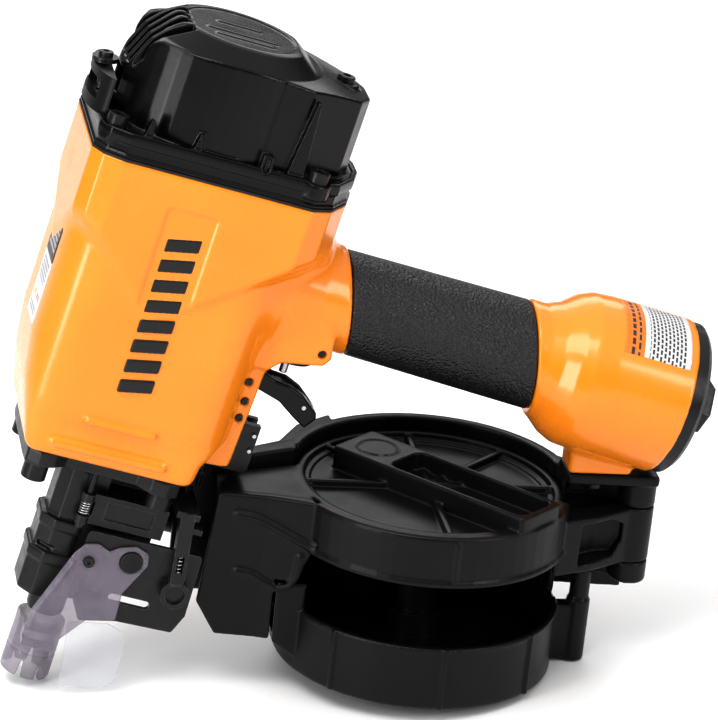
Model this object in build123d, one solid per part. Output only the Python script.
"""Pneumatic coil nail gun, shown standing on its nose tip and magazine.

The tool frame has its origin at the nose tip: +Z runs up the driver axis to the cap, +X runs back
along the handle and -Y is the tool's left side. The magazine is drawn in a frame of its own, tilted
in the XZ plane. place_all() stands the finished tool up on its two feet, +Z up, with the origin
under the middle of its bounding box.
"""
import os
from math import cos, radians, sin

from build123d import *

# ---------------------------------------------------------------- driving dimensions (mm, degrees)
TOTAL_HEIGHT = 316.0         # nose tip to the top of the cap's disk, along the driver axis
STAND_ANGLE = 17.17          # lean of the driver axis when the tool stands on tip and magazine
BARREL_HALF_WIDTH = 41.0
BARREL_FRONT = -50.0
BARREL_REAR = 50.0
BARREL_BOTTOM = 117.0
BARREL_TOP = 257.0
BARREL_CORNER = 25.0
CHAMBER_RADIUS = 37.0
CHAMBER_STEP = 146.0
LOWER_CHAMBER_RADIUS = 31.5
GASKET_THICKNESS = 1.0
FLANGE_THICKNESS = 10.0
CAP_BOTTOM = BARREL_TOP + GASKET_THICKNESS
CAP_FLANGE_TOP = CAP_BOTTOM + FLANGE_THICKNESS
CAP_WALL_TOP = 308.0
CAP_DISK_RADIUS = 26.6
CAP_SLOPE_TOP = 315.0
CAP_CENTRE_X = 3.0
CAP_HALF_LENGTH = 48.0
CAP_HALF_WIDTH = 38.6
CAP_LOUVRE_PLACES = (-16.2, -8.1, 0, 8.1, 16.2)
CAP_CAVITY_RADIUS = 34.0
CAP_PAD_PLACE = (53.0, 0.0)
CAP_PAD_TOP = CAP_WALL_TOP - 2
BOLT_HOLE_RADIUS = 2.6

HANDLE_Z = 210.65            # height of the handle axis where it meets the driver axis
HANDLE_DROOP = 1.43
CORE_RADIUS = 20.2
HANDLE_BORE = 14.0
GRIP_FRONT_RADIUS = 22.4
GRIP_REAR_RADIUS = 24.2
GRIP_SLANT = 14.0
GRIP_START = 84.5
GRIP_END = 173.0
END_RADIUS = 36.0
END_CAVITY_RADIUS = 28.0
END_FACE = 243.0
END_CAP_RADIUS = 35.1
END_CAP_THICKNESS = 7.0
INLET_ACROSS_FLATS = 22.5
INLET_LENGTH = 12.0
INLET_THREAD_RADIUS = 9.0
INLET_BORE_RADIUS = 5.6

SLEEVE_INNER = 25.0
SLEEVE_OUTER = 28.0
SLEEVE_BOTTOM = 121.0
SLEEVE_TOP = 238.0
PISTON_THICKNESS = 14.0
DRIVER_RADIUS = 3.6
DRIVER_LENGTH = 128.0
RUN_CLEARANCE = 0.05

NOSE_FLANGE_BOTTOM = 109.0
DRIVER_BORE = 4.4
TIP_RADIUS = 11.3

TRIGGER_X = 50.6
TRIGGER_Z = 168.0
VALVE_X = 69.0
VALVE_RADIUS = 11.0
STEM_RADIUS = 1.9
PIN_RADIUS = 1.5
GUIDE_PIN_PLACES = ((51.6, 158.8), (51.6, 150.6))
VALVE_PIN_PLACE = (77.7, 189.3)
CHEEK_HALF_WIDTH = 22.0
PIN_HALF_LENGTH = CHEEK_HALF_WIDTH + 0.3

MAG_X = 169.66
MAG_Z = 54.07
MAG_TILT = 12.84
DRUM_RADIUS = 64.4
DRUM_HEIGHT = 30.0
DRUM_WALL = 2.6
COVER_BOTTOM = 60.0
COVER_TOP = 84.0
LID_FLOOR = 80.0
BACK_WALL_TOP = 90.0
LID_RIB_ANGLES = (0, 45, 90, 135, 180, 270, 315)
HINGE_X = 97.5
HINGE_RADIUS = 8.5
HINGE_PIN_RADIUS = 3.0

nodes = {}


# ---------------------------------------------------------------- small helpers
def side_plate(points, y0, y1):
    """Outline in XZ, given thickness along Y."""
    return Pos(0, y0, 0) * extrude(Plane.XZ * Polygon(*points, align=None), y1 - y0, dir=(0, 1, 0))


def plan_plate(points, z0, z1):
    """Outline in XY, given height along Z."""
    return Pos(0, 0, z0) * extrude(Polygon(*points, align=None), z1 - z0, dir=(0, 0, 1))


def front_plate(points, x0, x1):
    """Outline in YZ, given length along X."""
    return Pos(x0, 0, 0) * extrude(Plane.YZ * Polygon(*points, align=None), x1 - x0, dir=(1, 0, 0))


def box(x0, x1, y0, y1, z0, z1):
    centre = Pos((x0 + x1) / 2, (y0 + y1) / 2, (z0 + z1) / 2)
    return centre * Box(x1 - x0, y1 - y0, z1 - z0)


def upright(x, y, z0, z1, radius):
    return Pos(x, y, (z0 + z1) / 2) * Cylinder(radius, z1 - z0)


def crosswise(x, z, y0, y1, radius):
    return Pos(x, (y0 + y1) / 2, z) * Rot(90, 0, 0) * Cylinder(radius, y1 - y0)


def lengthwise(y, z, x0, x1, radius):
    return Pos((x0 + x1) / 2, y, z) * Rot(0, 90, 0) * Cylinder(radius, x1 - x0)


def mirrored_y(points):
    """A half outline with y <= 0, closed by its own mirror image."""
    return points + [(x, -y) for x, y in reversed(points) if y]


def turned(profile):
    """Solid of revolution about Z from (radius, height) points."""
    return revolve(Plane.XZ * Polygon(*profile, align=None), Axis.Z)


def ring(inner, outer, z0, z1):
    return upright(0, 0, z0, z1, outer) - upright(0, 0, z0 - 1, z1 + 1, inner)


def coil(radius, wire, length, turns):
    """Open helical spring standing on z = 0."""
    pitch = (length - wire) / turns
    path = Helix(pitch, length - wire, radius)
    profile = Plane(path @ 0, z_dir=path % 0) * Circle(wire / 2)
    return Pos(0, 0, wire / 2) * sweep(profile, path)


def soft_edges(shape, radius, chosen):
    """Fillet the chosen edges, or leave them square where the corner is too tight."""
    try:
        rounded = fillet(chosen(shape), radius)
    except (ValueError, RuntimeError):
        return shape
    return rounded if rounded.is_valid else shape


def socket_screw(head_radius, head_height, shank_radius, shank_length):
    """Cap screw, head up, with its seat on z = 0."""
    head = upright(0, 0, 0, head_height, head_radius)
    head = soft_edges(head, 0.6, lambda s: s.edges().group_by(Axis.Z)[-1])
    socket = extrude(RegularPolygon(head_radius * 0.5, 6), head_height * 0.6)
    shank = upright(0, 0, -shank_length, 0, shank_radius)
    return head - Pos(0, 0, head_height * 0.45) * socket + shank


HANDLE = Pos(0, 0, HANDLE_Z) * Rot(0, 90 + HANDLE_DROOP, 0)
DEFLECTOR_AXIS = Pos(-50.6, 0, CAP_FLANGE_TOP + 17.4) * Rot(0, -8, 0)
MAGAZINE = Pos(MAG_X, 0, MAG_Z) * Rot(0, -MAG_TILT, 0)


def along_handle(z0, z1, radius):
    """Cylinder on the handle axis between two distances from the driver axis."""
    return HANDLE * upright(0, 0, z0, z1, radius)


def slanted_cut(distance, keep_rear):
    """Half-space on one side of the slanted plane where the grip starts or ends."""
    block = Box(400, 400, 400)
    shift = 200 if keep_rear else -200
    return Pos(distance, 0, HANDLE_Z) * Rot(0, -GRIP_SLANT, 0) * Pos(shift, 0, 0) * block


# ---------------------------------------------------------------- housing
UPPER_PLAN = mirrored_y([(-50.5, -31), (-46, -37.5), (-37, -41), (48, -41), (57.5, -34.5), (66.5, -19),
                         (70, -6)])


def make_barrel():
    section = RectangleRounded(BARREL_REAR - BARREL_FRONT, 2 * BARREL_HALF_WIDTH, BARREL_CORNER)
    barrel = extrude(Pos(0, 0, BARREL_BOTTOM) * section, BARREL_TOP - BARREL_BOTTOM)
    side = [(BARREL_FRONT, 260), (BARREL_FRONT, 168), (-45.5, 143), (-36, BARREL_BOTTOM), (37, BARREL_BOTTOM),
            (40, 128), (BARREL_REAR, 140), (BARREL_REAR, 260)]
    lower = [(-36, BARREL_BOTTOM), (36, BARREL_BOTTOM), (37.5, 133), (BARREL_HALF_WIDTH, 141)]
    front = lower + [(BARREL_HALF_WIDTH, 260), (-BARREL_HALF_WIDTH, 260), (-BARREL_HALF_WIDTH, 141),
                     (-37.5, 133)]
    return barrel & side_plate(side, -60, 60) & front_plate(front, -60, 60)


def make_upper_section():
    """Wider top of the housing, trimmed to sloping ledges at its four lower corners."""
    upper = plan_plate(UPPER_PLAN, 196, BARREL_TOP)
    for side_sign in (-1, 1):
        front_cut = Plane(origin=(-38, side_sign * 41, 208), z_dir=(-0.62, side_sign * 0.45, -0.64))
        rear_cut = Plane(origin=(30, side_sign * 41, 209), z_dir=(0.55, side_sign * 0.42, -0.72))
        for cut in (front_cut, rear_cut):
            upper -= cut * Pos(0, 0, 60) * Box(160, 160, 120)
    return upper - box(-60, 80, -15, 15, 190, 208)


def make_handle_body():
    """Neck, trigger cheeks, the core under the grip, and the flared end of the handle."""
    neck_profile = [(0, 30), (32, 30), (29.5, 52), (24.6, 70), (23, 82), (23, 100), (0, 100)]
    neck = HANDLE * turned(neck_profile) - slanted_cut(GRIP_START, True)
    web = [(30, 126.5), (39.3, 125.1), (54.3, 126.6), (56.5, 176.3), (61.5, 180.8), (74.5, 183), (80, 184.2),
           (82, 188), (84, 206), (66, 238), (30, 238)]
    cheeks = side_plate(web, -CHEEK_HALF_WIDTH, CHEEK_HALF_WIDTH)
    cheeks = soft_edges(cheeks, 4, lambda s: s.edges().filter_by(Axis.Y).group_by(Axis.X)[-1])
    core = along_handle(70, GRIP_END + 12, CORE_RADIUS)
    end_profile = [(0, GRIP_END - 12), (24.4, GRIP_END - 12), (24.6, GRIP_END + 3), (27.5, GRIP_END + 10),
                   (33, GRIP_END + 16), (35.4, GRIP_END + 22), (END_RADIUS, GRIP_END + 30),
                   (END_RADIUS, END_FACE), (0, END_FACE)]
    end = HANDLE * turned(end_profile) & slanted_cut(GRIP_END, True)
    foot = MAGAZINE * box(62, 92, -9, 9, 93.4, 112)
    return neck + cheeks + core + end + foot


def make_housing():
    housing = make_barrel() + make_upper_section() + make_handle_body()
    housing -= upright(0, 0, CHAMBER_STEP, BARREL_TOP + 1, CHAMBER_RADIUS)
    housing -= upright(0, 0, BARREL_BOTTOM + 4, CHAMBER_STEP + 1, LOWER_CHAMBER_RADIUS)
    housing -= upright(0, 0, BARREL_BOTTOM - 1, BARREL_BOTTOM + 5, 12)
    housing -= along_handle(25, END_FACE + 1, HANDLE_BORE)
    housing -= along_handle(GRIP_END + 25, END_FACE + 1, END_CAVITY_RADIUS)
    housing -= upright(VALVE_X, 0, 170, 200, VALVE_RADIUS)
    housing -= box(40.5, 60, -8.3, 8.3, 120, 176)
    for x, z in ((TRIGGER_X, TRIGGER_Z), *GUIDE_PIN_PLACES, VALVE_PIN_PLACE):
        housing -= crosswise(x, z, -23, 23, PIN_RADIUS + 0.05)
    for x, y in CAP_BOLT_PLACES:
        housing -= upright(x, y, 235, 258, BOLT_HOLE_RADIUS)
    for x, y in NOSE_BOLT_PLACES:
        housing -= upright(x, y, 116, 120, BOLT_HOLE_RADIUS)
    return housing - MAGAZINE * upright(76, 0, 92, 104, BOLT_HOLE_RADIUS)


CAP_BOLT_PLACES = [(-43.5, -31), (46.5, -36.5), (-43.5, 31), (46.5, 36.5)]
NOSE_BOLT_PLACES = [(-29, -25), (28.5, -25), (-29, 25), (28.5, 25)]

nodes["housing"] = make_housing()


# ---------------------------------------------------------------- cap group
def make_cap():
    flange = plan_plate(UPPER_PLAN, CAP_BOTTOM, CAP_FLANGE_TOP)
    flange = soft_edges(flange, 2.0, lambda s: s.edges().group_by(Axis.Z)[-1])
    round_wall = extrude(Pos(CAP_CENTRE_X, 0, CAP_BOTTOM) * Ellipse(CAP_HALF_LENGTH, CAP_HALF_WIDTH), 60)
    rear_wall = plan_plate(mirrored_y([(20, -37.6), (35, -35.4), (58.5, -19.5), (64, -8)]), CAP_BOTTOM, 318)
    side = [(-46.5, CAP_BOTTOM), (-44.5, 288), (-37, 305), (-26, 312.5), (27, 312.5), (36, CAP_WALL_TOP),
            (64, CAP_WALL_TOP - 2.5), (64, CAP_BOTTOM)]
    crown = [(0, CAP_BOTTOM), (75, CAP_BOTTOM), (75, CAP_WALL_TOP - 9), (CAP_HALF_WIDTH, CAP_WALL_TOP),
             (CAP_DISK_RADIUS, CAP_SLOPE_TOP), (0, CAP_SLOPE_TOP)]
    wall = (round_wall + rear_wall) & side_plate(side, -50, 50) & Pos(2, 0, 0) * turned(crown)
    disk = upright(1.5, 0, CAP_WALL_TOP - 4, TOTAL_HEIGHT, CAP_DISK_RADIUS)
    disk = soft_edges(disk, 0.8, lambda s: s.edges().group_by(Axis.Z)[-1])
    cap = flange + wall + disk
    louvre = [(-60, 291), (-41, 291), (-30, 304.5), (-22, 309), (-22, 320), (-60, 320)]
    for y in CAP_LOUVRE_PLACES:
        cap -= side_plate(louvre, y - 1.7, y + 1.7)
    cap -= upright(0, 0, CAP_BOTTOM - 1, CAP_WALL_TOP - 6, CAP_CAVITY_RADIUS)
    cap -= box(-60, -30, -9, 9, 276, 287)
    for x, y in CAP_BOLT_PLACES:
        cap -= upright(x, y, CAP_BOTTOM - 1, CAP_FLANGE_TOP + 1, BOLT_HOLE_RADIUS - 0.1)
        cap -= upright(x, y, CAP_FLANGE_TOP, CAP_WALL_TOP + 5, 6.4)
    for side_sign in (-1, 1):
        rib_y = side_sign * 35.4
        rib = [(31, CAP_FLANGE_TOP - 2), (40.5, CAP_FLANGE_TOP - 2), (37.5, 306), (35.5, 306)]
        cap += side_plate(rib, rib_y - 1.5, rib_y + 1.5)
        boss_y = side_sign * 38.2
        cap += box(20, 25, boss_y - 1.4, boss_y + 1.4, CAP_FLANGE_TOP - 2, CAP_FLANGE_TOP + 7)
        for x in (-30, -8):
            gusset = [(x - 2.5, CAP_FLANGE_TOP - 1), (x + 2.5, CAP_FLANGE_TOP - 1), (x, CAP_FLANGE_TOP + 8)]
            cap += side_plate(gusset, side_sign * 37 - 2, side_sign * 37 + 2)
    cap += upright(*CAP_PAD_PLACE, CAP_WALL_TOP - 6, CAP_PAD_TOP, 6.5)
    return cap - upright(*CAP_PAD_PLACE, CAP_PAD_TOP - 20, CAP_PAD_TOP + 1, 2.0)


def make_deflector():
    """Exhaust guard on the front of the cap, with a window under its round plate."""
    guard = extrude(Pos(-46, 0, CAP_FLANGE_TOP + 0.2) * Ellipse(9.5, 22), 17)
    guard = soft_edges(guard, 5.0, lambda s: s.edges().group_by(Axis.Z)[-1])
    guard = guard & box(-70, -47.2, -30, 30, 260, 300)
    guard -= box(-60, -40, -16, 16, 273, 281.5)
    return guard - DEFLECTOR_AXIS * upright(0, 0, -14, 8, 2.0)


nodes["cap"] = make_cap()
gasket = plan_plate(UPPER_PLAN, BARREL_TOP, CAP_BOTTOM) - upright(0, 0, 250, 260, CHAMBER_RADIUS)
for bolt_x, bolt_y in CAP_BOLT_PLACES:
    gasket -= upright(bolt_x, bolt_y, 250, 260, BOLT_HOLE_RADIUS)
nodes["cap_gasket"] = gasket
nodes["cap_bolts"] = Compound([Pos(x, y, CAP_FLANGE_TOP) * socket_screw(4.6, 6.0, 2.5, 22)
                               for x, y in CAP_BOLT_PLACES])
nodes["cap_top_screw"] = Pos(*CAP_PAD_PLACE, CAP_PAD_TOP) * socket_screw(4.0, 2.6, 2.0, 16)
nodes["exhaust_deflector"] = make_deflector()
deflector_plate = upright(0, 0, 0.9, 2.9, 5.8) + Pos(0, 0, 2.9) * socket_screw(3.2, 2.2, 1.95, 12)
nodes["deflector_screw"] = DEFLECTOR_AXIS * deflector_plate


# ---------------------------------------------------------------- drive train inside the barrel
PISTON_BOTTOM = 222.0
VALVE_SEAT = SLEEVE_TOP + 0.1


def make_sleeve():
    sleeve = ring(SLEEVE_INNER, SLEEVE_OUTER, SLEEVE_BOTTOM, SLEEVE_TOP)
    collar = ring(SLEEVE_OUTER - 1, CHAMBER_RADIUS - 0.1, 160, 170)
    groove = ring(CHAMBER_RADIUS - 2.2, CHAMBER_RADIUS + 1, 163.5, 166.5)
    sleeve = sleeve + collar - groove
    ports = [Rot(0, 0, 30 * i) * lengthwise(0, 146, 20, 40, 1.8) for i in range(12)]
    for port in ports:
        sleeve -= port
    return sleeve


def make_driver():
    blade = upright(0, 0, PISTON_BOTTOM - DRIVER_LENGTH, PISTON_BOTTOM + 4, DRIVER_RADIUS)
    piston_hole = upright(0, 0, PISTON_BOTTOM - 1, PISTON_BOTTOM + 4, DRIVER_RADIUS)
    piston = upright(0, 0, PISTON_BOTTOM, PISTON_BOTTOM + PISTON_THICKNESS, SLEEVE_INNER - RUN_CLEARANCE)
    piston = piston - piston_hole - ring(22.5, 30, PISTON_BOTTOM + 5.5, PISTON_BOTTOM + 8.5)
    piston -= upright(0, 0, PISTON_BOTTOM + 9, PISTON_BOTTOM + 20, 17)
    seal = ring(22.5, SLEEVE_INNER - 0.02, PISTON_BOTTOM + 5.5, PISTON_BOTTOM + 8.5)
    return piston, blade, seal


def make_head_valve():
    profile = [(19, VALVE_SEAT), (30, VALVE_SEAT), (30, 246), (33.9, 248), (33.9, 262), (29, 262), (29, 254),
               (22, 254), (22, 262), (19, 262)]
    return turned(profile)


nodes["cylinder_sleeve"] = make_sleeve()
nodes["sleeve_seal"] = ring(CHAMBER_RADIUS - 2.2, CHAMBER_RADIUS - 0.02, 163.6, 166.4)
nodes["bumper"] = turned([(6.2, 121), (24.6, 121), (24.6, 132), (22, 140), (6.2, 140)])
nodes["piston"], nodes["driver_blade"], nodes["piston_ring"] = make_driver()
nodes["head_valve"] = make_head_valve()
nodes["head_valve_spring"] = Pos(0, 0, 254) * coil(25.5, 2.2, 301.8 - 254, 4.5)


# ---------------------------------------------------------------- handle group
def make_grip():
    profile = [(CORE_RADIUS, GRIP_START - 20), (GRIP_FRONT_RADIUS, GRIP_START - 20),
               (GRIP_REAR_RADIUS, GRIP_END + 12), (CORE_RADIUS, GRIP_END + 12)]
    sleeve = HANDLE * turned(profile)
    return sleeve & slanted_cut(GRIP_START + 0.1, True) & slanted_cut(GRIP_END - 0.1, False)


def make_end_cap():
    outer = END_FACE + END_CAP_THICKNESS
    cap = HANDLE * turned([(0, END_FACE), (END_CAP_RADIUS, END_FACE), (END_CAP_RADIUS, END_FACE + 5),
                           (END_CAP_RADIUS - 2, outer), (0, outer)])
    spigot = along_handle(END_FACE - 8, END_FACE, END_CAVITY_RADIUS - 0.1)
    return cap + spigot - along_handle(END_FACE - 9, END_FACE + 10, INLET_THREAD_RADIUS)


def make_inlet():
    start = END_FACE + END_CAP_THICKNESS
    hexagon = extrude(RegularPolygon(INLET_ACROSS_FLATS / 2, 6, major_radius=False), INLET_LENGTH)
    hexagon = soft_edges(hexagon, 1.2, lambda s: s.edges().group_by(Axis.Z)[-1])
    body = HANDLE * Pos(0, 0, start) * Rot(0, 0, 30) * hexagon
    body += along_handle(END_FACE - 6, start, INLET_THREAD_RADIUS)
    return body - along_handle(END_FACE - 7, start + INLET_LENGTH + 1, INLET_BORE_RADIUS)


nodes["grip"] = make_grip()
nodes["end_cap"] = make_end_cap()
nodes["air_inlet"] = make_inlet()


# ---------------------------------------------------------------- trigger group
LEVER_PIN_PLACE = (82, 157.5)


def make_trigger():
    outline = [(TRIGGER_X - 5, 165), (TRIGGER_X - 1, 173.3), (TRIGGER_X + 5, 174), (60, 169), (66, 166.6),
               (73, 166), (80, 163), (88.5, 156.2), (89, 153.5), (85.3, 148.4), (79, 151.8), (70.3, 157.6),
               (61.4, 160.2), (54, 162)]
    lever = side_plate(outline, -7.6, 7.6)
    lever = soft_edges(lever, 1.2, lambda s: s.edges().filter_by(Axis.Y))
    pocket = [(40, 175), (95, 175), (95, 165), (84.5, 156.6), (79, 155.2), (70.3, 160.6), (61.4, 163.2),
              (40, 163.5)]
    lever -= side_plate(pocket, -5.4, 5.4)
    lever -= crosswise(TRIGGER_X, TRIGGER_Z, -9, 9, PIN_RADIUS + 0.05)
    return lever - crosswise(*LEVER_PIN_PLACE, -9, 9, 1.05)


def make_contact_lever():
    outline = [(56.5, 163.9), (70, 162), (80, 156.4), (84, 157.2), (84.5, 159), (80, 161.5), (70, 165),
               (57, 165.5)]
    return side_plate(outline, -5.1, 5.1) - crosswise(*LEVER_PIN_PLACE, -9, 9, 1.05)


nodes["trigger"] = make_trigger()
nodes["contact_lever"] = make_contact_lever()
nodes["lever_pin"] = crosswise(*LEVER_PIN_PLACE, -7.6, 7.6, 1.0)
nodes["trigger_pin"] = crosswise(TRIGGER_X, TRIGGER_Z, -PIN_HALF_LENGTH, PIN_HALF_LENGTH, PIN_RADIUS)
nodes["guide_pins"] = Compound([crosswise(x, z, -PIN_HALF_LENGTH, PIN_HALF_LENGTH, PIN_RADIUS)
                                for x, z in GUIDE_PIN_PLACES])
nodes["valve_pin"] = crosswise(*VALVE_PIN_PLACE, -PIN_HALF_LENGTH, PIN_HALF_LENGTH, PIN_RADIUS)

valve_body = upright(VALVE_X, 0, 177, 199, VALVE_RADIUS - 0.02)
valve_body -= upright(VALVE_X, 0, 173, 200, STEM_RADIUS + RUN_CLEARANCE)
valve_body -= upright(VALVE_X, 0, 185, 200, 6.5)
nodes["trigger_valve"] = valve_body - crosswise(*VALVE_PIN_PLACE, -23, 23, PIN_RADIUS + 0.05)
stem = upright(VALVE_X, 0, 169.2, 196, STEM_RADIUS) + upright(VALVE_X, 0, 186, 187.6, 5.5)
nodes["valve_stem"] = soft_edges(stem, 0.6, lambda s: s.edges().group_by(Axis.Z)[0])
nodes["valve_spring"] = Pos(VALVE_X, 0, 187.65) * coil(4.2, 0.8, 10, 5)


# ---------------------------------------------------------------- nose
def make_nose():
    flange_plan = mirrored_y([(-36, -20), (-35.5, -29), (-29, -33), (-22, -29), (-16, -24), (16, -25),
                              (22, -31), (28.5, -33), (35, -29), (36.5, -20), (36.5, -9)])
    nose = plan_plate(flange_plan, NOSE_FLANGE_BOTTOM, BARREL_BOTTOM)
    steps = [([(-14, -7), (-9, -12), (0, -12.5)], 77, 110), ([(-16, -8), (-10, -13.5), (1, -14)], 56, 80),
             ([(-17, -8.5), (-11, -15), (2, -15.5)], 42, 64)]
    for half_plan, low, high in steps:
        block = plan_plate(mirrored_y(half_plan), low, high)
        nose += soft_edges(block, 1.5, lambda s: s.edges().group_by(Axis.Z)[-1])
    nose += plan_plate(mirrored_y([(-10, -9), (9, -11), (9, -4)]), 43, 110)
    nose += upright(0, 0, 31, 44, 8.6)
    nose += box(0, 44, 4, 14, 56, 112)
    nose += box(0, 44, -6, 14, 100, 112)
    nose -= upright(0, 0, 30, 118, DRIVER_BORE)
    nose -= box(0, 60, -2.6, 3.9, 50, 100)
    for x, y in NOSE_BOLT_PLACES:
        nose -= upright(x, y, 100, 118, BOLT_HOLE_RADIUS)
    for z in FRAME_BOLT_HEIGHTS:
        nose -= crosswise(30, z, 3, 15, 2.0)
    return nose


FRAME_BOLT_HEIGHTS = (62, 97)
nodes["nose"] = make_nose()
nose_bolt = Rot(180, 0, 0) * socket_screw(5.6, 7.5, 2.5, 10.5)
nodes["nose_bolts"] = Compound([Pos(x, y, NOSE_FLANGE_BOTTOM) * nose_bolt for x, y in NOSE_BOLT_PLACES])


# ---------------------------------------------------------------- access door on the nose
DOOR_HINGE = (-0.5, -17.5)


def make_door():
    panel = box(3.4, 37, -17.2, -14.8, 83.2, 97.6) - box(9, 31, -17.5, -16.4, 86.5, 95)
    knuckle = upright(*DOOR_HINGE, 83.2, 87, 3.0) + box(-0.5, 4, -17.2, -14.9, 83.2, 87)
    upper = upright(*DOOR_HINGE, 94, 97.6, 3.0) + box(-0.5, 4, -17.2, -14.9, 94, 97.6)
    return panel + knuckle + upper - upright(*DOOR_HINGE, 80, 99, 1.3)


nodes["nose_door"] = make_door()
nodes["door_pin"] = upright(*DOOR_HINGE, 82, 108.9, 1.25) + upright(*DOOR_HINGE, 81.2, 82.6, 2.2)
nodes["door_spring"] = Pos(*DOOR_HINGE, 87.2) * coil(2.3, 0.7, 6.6, 5)


# ---------------------------------------------------------------- contact trip
ROD_BOTTOM = (49.3, -23.2, 62.7)
ROD_TILT = 8.5
DIAL_PLACE = (45.5, 0.0)
SHIELD_Y = -20.4


def on_rod(shape):
    """Move a shape drawn about Z onto the adjusting sleeve's tilted axis."""
    return Pos(*ROD_BOTTOM) * Rot(0, -ROD_TILT, 0) * shape


def make_trip_plate():
    outline = [(5, 81.6), (57.2, 81.6), (58.2, 52), (54.4, 42.6), (28.4, 41.8), (12, 38), (4, 52), (4, 80)]
    plate = side_plate(outline, -20.6, -18.2)
    plate = soft_edges(plate, 1.5, lambda s: s.edges().filter_by(Axis.Y))
    slot = crosswise(23.6, 52.6, -22, -17, 1.95) + crosswise(39, 52.6, -22, -17, 1.95)
    slot += box(23.6, 39, -22, -17, 50.65, 54.55)
    boss = crosswise(49.3, 62.7, -26, -19, 6.7) - crosswise(49.3, 62.7, -27, -24, 4.6)
    plate = plate - slot + boss
    for x, z in ((7.7, 67.7), (26.3, 71.8)):
        plate -= crosswise(x, z, -21, -17, 1.6)
    return plate - on_rod(box(-3.3, 3.3, -3, 2.6, 5, 12))


def make_trip_sleeve():
    """Square sleeve on the plate, with a window that shows the detent spring, and its bridge to the rod."""
    sleeve = on_rod(box(-3.2, 3.2, -2.8, 2.55, 5.2, 40))
    bridge = box(38.5, 49, -25.6, 3.5, 99.4, 102.4)
    tab = box(43.5, 52, -26, -20.7, 93.4, 96)
    sleeve = sleeve + bridge + tab - upright(*DIAL_PLACE, 98, 103, 2.0)
    return sleeve - on_rod(upright(0, 0, 9, 34, 2.35)) - on_rod(box(-1.6, 1.6, -4, 0, 11, 19))


def make_depth_dial():
    dial = upright(*DIAL_PLACE, 108, 114, 4.9)
    for i in range(12):
        notch = Pos(DIAL_PLACE[0], DIAL_PLACE[1], 0) * Rot(0, 0, 30 * i) * upright(5.1, 0, 107, 115, 0.6)
        dial -= notch
    return dial - upright(*DIAL_PLACE, 107, 115, 2.05)


def make_trip_link():
    link = box(42.5, 66, -7, 5.4, 120.5, 125.5)
    link += box(57.8, 66.5, -7, 5.4, 122, 143.5) - box(60.5, 68, -3.4, 2.4, 128, 146)
    link += box(55, 58.6, -5, 5, 122, 151.5)
    return link - upright(*DIAL_PLACE, 119, 127, 2.0)


nodes["trip_plate"] = make_trip_plate()
nodes["trip_sleeve"] = make_trip_sleeve()
nodes["detent_spring"] = on_rod(Pos(0, 0, 9.1) * coil(1.75, 0.6, 24.8, 13))
nodes["adjusting_rod"] = upright(*DIAL_PLACE, 96, 125.5, 2.0)
nodes["depth_dial"] = make_depth_dial()
nodes["trip_link"] = make_trip_link()
nodes["trip_wire"] = Compound([crosswise(64.5, 139, -8.5, 7, 0.9), crosswise(64.5, 131.5, -8.5, 7, 0.9)])
nodes["trip_link"] -= crosswise(64.5, 139, -9, 9, 0.9) + crosswise(64.5, 131.5, -9, 9, 0.9)


def make_trip_tip():
    tube = turned([(8.9, 0), (TIP_RADIUS, 0), (TIP_RADIUS, 11.5), (TIP_RADIUS - 0.5, 12.2), (TIP_RADIUS, 13),
                   (TIP_RADIUS, 20), (12.4, 28), (10.0, 28), (8.9, 20)])
    for angle in (-112, -66, -20, 26, 72, 118, 164):
        tube -= Rot(0, 0, angle) * box(6, 14, -0.7, 0.7, -1, 6.5)
    outline = [(-10.5, 24), (-10.2, 38), (0.5, 69.9), (4.2, 75.2), (10, 76.7), (15.7, 74.3), (19.5, 77.2),
               (26.8, 79.6), (33, 77.5), (34.3, 72), (27.1, 56.4), (27.9, 42.5), (15, 39.4), (6, 27),
               (4.7, 21)]
    arm = side_plate(outline, -22.6, -20.7)
    arm = soft_edges(arm, 1.2, lambda s: s.edges().filter_by(Axis.Y))
    web = plan_plate([(-9.8, -22.6), (4.6, -22.6), (9, -9), (-9, -9)], 20.2, 27.6)
    web -= upright(0, 0, 19, 29, 10.4)
    arm -= crosswise(26.3, 71.8, -23, -20, 5.0) + crosswise(7.7, 67.7, -23, -20, 1.6)
    return tube + arm + web


def make_shield():
    outline = [(8, 36), (26, 39.5), (33, 37), (36.6, 31), (37, 13), (34, 9.5), (28, 7.2), (14, 4.6),
               (12.5, 8), (11, 20)]
    pane = side_plate(outline, SHIELD_Y - 0.2, SHIELD_Y + 1.0)
    return soft_edges(pane, 2.0, lambda s: s.edges().filter_by(Axis.Y))


nodes["trip_tip"] = make_trip_tip()
nodes["debris_shield"] = make_shield()
nodes["tip_screw"] = Pos(7.7, -22.6, 67.7) * Rot(90, 0, 0) * socket_screw(2.6, 1.8, 1.55, 4.4)
nodes["tip_stud"] = crosswise(26.3, 71.8, -23.4, -20.6, 4.9) + crosswise(26.3, 71.8, -20.6, -18.2, 1.55)
nodes["trip_spring"] = Pos(DIAL_PLACE[0], DIAL_PLACE[1], 114.2) * coil(3.2, 0.8, 6.2, 3)


# ---------------------------------------------------------------- nail feed
FEED_Y = 24.0
FEED_Z = 82.0

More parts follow.
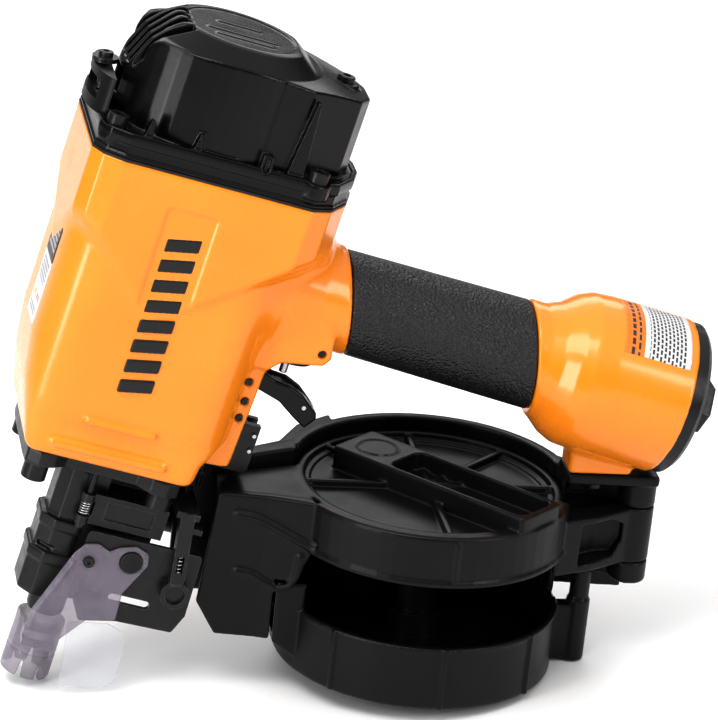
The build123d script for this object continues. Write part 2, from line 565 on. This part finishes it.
cylinder = lengthwise(FEED_Y, FEED_Z, 24, 50, 9.5) + box(26, 37.5, 14, 20, 76, 88)
cylinder -= lengthwise(FEED_Y, FEED_Z, 27, 51, 7.0) + lengthwise(FEED_Y, FEED_Z, 23, 28, 2.55)
nodes["feed_cylinder"] = cylinder
nodes["feed_cap"] = lengthwise(FEED_Y, FEED_Z, 50, 52.5, 9.5) + lengthwise(FEED_Y, FEED_Z, 48, 50, 6.95)
nodes["feed_piston"] = lengthwise(FEED_Y, FEED_Z, 28.5, 34, 6.95) + lengthwise(FEED_Y, FEED_Z, 10, 28.5, 2.5)
nodes["feed_spring"] = Pos(34.1, FEED_Y, FEED_Z) * Rot(0, 90, 0) * coil(5.4, 1.0, 13.8, 4)
pawl = box(11.5, 16, 0.2, 28, 79, 85) - lengthwise(FEED_Y, FEED_Z, 11, 17, 2.5)
nodes["feed_pawl"] = pawl
nodes["nose"] -= box(10.8, 25, 3, 15, 78.6, 85.4)
nodes["nose"] -= box(38.2, 60, -30, 30, 20, 119)


# ---------------------------------------------------------------- magazine, in its own tilted frame
def drum_arc(inner, outer, start, end, h0, h1):
    """Curved wall about the drum's axis between two angles."""
    points = [(0, 0)]
    steps = 8
    for i in range(steps + 1):
        angle = radians(start + (end - start) * i / steps)
        points.append((200 * cos(angle), 200 * sin(angle)))
    return ring(inner, outer, h0, h1) & plan_plate(points, h0 - 1, h1 + 1)


def make_magazine_frame():
    cup = upright(0, 0, 0, DRUM_HEIGHT, DRUM_RADIUS)
    cup = soft_edges(cup, 2.0, lambda s: s.edges().group_by(Axis.Z)[0])
    chute = side_plate([(-69.5, 14), (-50, 0.6), (-40, 0.6), (-40, 43), (-69.5, 43)], -27, 16)
    chute -= side_plate([(-80, 18), (-66, 18), (-50, 4), (-30, 4), (-30, 50), (-80, 50)], -24, 6)
    frame = cup + (chute - upright(0, 0, 3, 100, DRUM_RADIUS - DRUM_WALL))
    frame -= upright(0, 0, 3, DRUM_HEIGHT + 1, DRUM_RADIUS - DRUM_WALL)
    frame -= side_plate([(-75, 6), (-45, 6), (-45, 50), (-75, 50)], -24, 6)
    frame += drum_arc(62, DRUM_RADIUS + 0.6, 3, 158, DRUM_HEIGHT - 1, BACK_WALL_TOP)
    frame += drum_arc(62, DRUM_RADIUS + 3, 3, 158, BACK_WALL_TOP - 4, BACK_WALL_TOP)
    far_plan = [(-114.5, 6), (-90, 6), (-59, 19.2), (-58, 28), (-83, 18), (-114.5, 10)]
    frame += plan_plate(far_plan, 24, BACK_WALL_TOP)
    frame += box(-69.5, -55, 6, 22, 14, 44) - upright(0, 0, 3, 100, 62)
    frame += plan_plate([(58, 22), (97.5, 12), (97.5, 9.2), (60, 12)], DRUM_HEIGHT, BACK_WALL_TOP)
    for low, high in ((39.3, 49.8), (76.7, 88.2)):
        frame += upright(HINGE_X, 0, low, high, HINGE_RADIUS)
        frame += plan_plate([(64, 18), (HINGE_X, 12), (HINGE_X, 0), (HINGE_X - 8, 2), (66, 11)], low, high)
    frame += box(62, 105, -9.5, 12, 88.2, 93.3)
    frame += upright(75, -5, 0, 31, 5.5) + box(60, 75, -9, -1, 0, 28) - upright(0, 0, 3, 100, 61.8)
    frame += upright(75, -5, 30, 46, 4.6)
    frame -= upright(HINGE_X, 0, 38, 94, HINGE_PIN_RADIUS)
    frame -= upright(76, 0, 80, 94, BOLT_HOLE_RADIUS)
    for angle in (-95, -140, -50):
        frame += Rot(0, 0, angle) * box(DRUM_RADIUS - 1, DRUM_RADIUS + 0.8, -0.9, 0.9, 2, DRUM_HEIGHT)
    frame = MAGAZINE * frame
    for z in FRAME_BOLT_HEIGHTS:
        frame += box(20, 44, 14, 18, z - 4.6, z + 4.6) + box(39, 44, 6, 18, z - 4.6, z + 4.6)
        frame += box(39, 56, 6, 10, z - 4.6, z + 4.6)
        frame -= crosswise(30, z, 13, 19, 2.0)
    return frame


def make_cover():
    lid = upright(0, 0, 77.4, COVER_TOP, 60.9) - upright(0, 0, LID_FLOOR, COVER_TOP + 1, 57)
    for angle in LID_RIB_ANGLES:
        lid += Rot(0, 0, angle) * box(0, 58, -1.4, 1.4, LID_FLOOR - 1, COVER_TOP - 1)
    wall = drum_arc(60.5, DRUM_RADIUS + 0.6, -153, -17, COVER_BOTTOM, COVER_TOP)
    wall = soft_edges(wall, 1.5, lambda s: s.edges().group_by(Axis.Z)[-1])
    throat = plan_plate([(-99, -18), (-57, -27), (-57, 16), (-88, 5.2), (-99, 5.2)], 78, COVER_TOP)
    throat -= upright(0, 0, 77, 86, 60)
    panel_plan = [(-108, -20), (-78, -24.5), (-56.5, -30), (-56.5, -26), (-78, -21), (-108, -17)]
    panel_face = [(-99, 84), (-104.6, 30), (-95.5, 15), (-71, 15), (-71, 44.5), (-62, 44.5),
                  (-56.5, COVER_BOTTOM), (-56.5, 84)]
    panel = plan_plate(panel_plan, 10, 90) & side_plate(panel_face, -40, 0)
    arm = plan_plate([(58, -24), (93, -8.4), (HINGE_X, -8.5), (HINGE_X, 0), (90, 0), (58, -15)], 49.9, 76.6)
    arm -= plan_plate([(66, -26), (86, -18), (86, -8.8), (66, -17)], 55, 72)
    knuckle = upright(HINGE_X, 0, 49.9, 76.6, HINGE_RADIUS)
    bar = box(-46, 62, -14.6, 14.6, 79, 91) - box(-16, 59, -11.8, 11.8, 82, 92)
    bar = Rot(0, 0, -46.7) * Pos(1.5, -1, 0) * bar
    bar = bar & upright(0, 0, 70, 92, 65)
    rib = Rot(0, 0, -95) * box(63.5, 66, -1.0, 1.0, COVER_BOTTOM + 2, COVER_TOP - 2)
    cover = lid + wall + throat + panel + arm + knuckle + bar + rib
    return MAGAZINE * (cover - upright(HINGE_X, 0, 40, 94, HINGE_PIN_RADIUS + RUN_CLEARANCE))


nodes["magazine_frame"] = make_magazine_frame()
nodes["magazine_cover"] = make_cover()
nodes["cover_hinge_pin"] = MAGAZINE * upright(HINGE_X, 0, 38.5, 88, HINGE_PIN_RADIUS)
nodes["bracket_screw"] = MAGAZINE * Pos(76, 0, 88.1) * Rot(180, 0, 0) * socket_screw(4.5, 4.0, 2.5, 15)
nodes["frame_bolts"] = Compound([Pos(30, 18, z) * Rot(-90, 0, 0) * socket_screw(3.6, 3.6, 2.0, 12)
                                 for z in FRAME_BOLT_HEIGHTS])
nodes["platform_post"] = MAGAZINE * (upright(0, 0, 3, 72, 9) - upright(0, 0, 10, 73, 6.5))
platform = upright(0, 0, 8, 11, 58) + upright(0, 0, 8, 22, 12) - upright(0, 0, 7, 23, 9.05)
nodes["nail_platform"] = MAGAZINE * platform


# ---------------------------------------------------------------- stand the tool up and write it out
def place_all():
    """Lean the tool onto its tip and drum, with the origin under the middle of its bounding box."""
    standing = {name: Rot(0, STAND_ANGLE, 0) * shape for name, shape in nodes.items()}
    whole = Compound(list(standing.values())).bounding_box()
    shift = Pos(-whole.center().X, -whole.center().Y, -whole.min.Z)
    return {name: shift * shape for name, shape in standing.items()}, shift


placed, STAND_SHIFT = place_all()
os.makedirs("parts", exist_ok=True)
for name, shape in placed.items():
    export_step(shape, f"parts/{name}.step")
print(len(placed), "parts written")
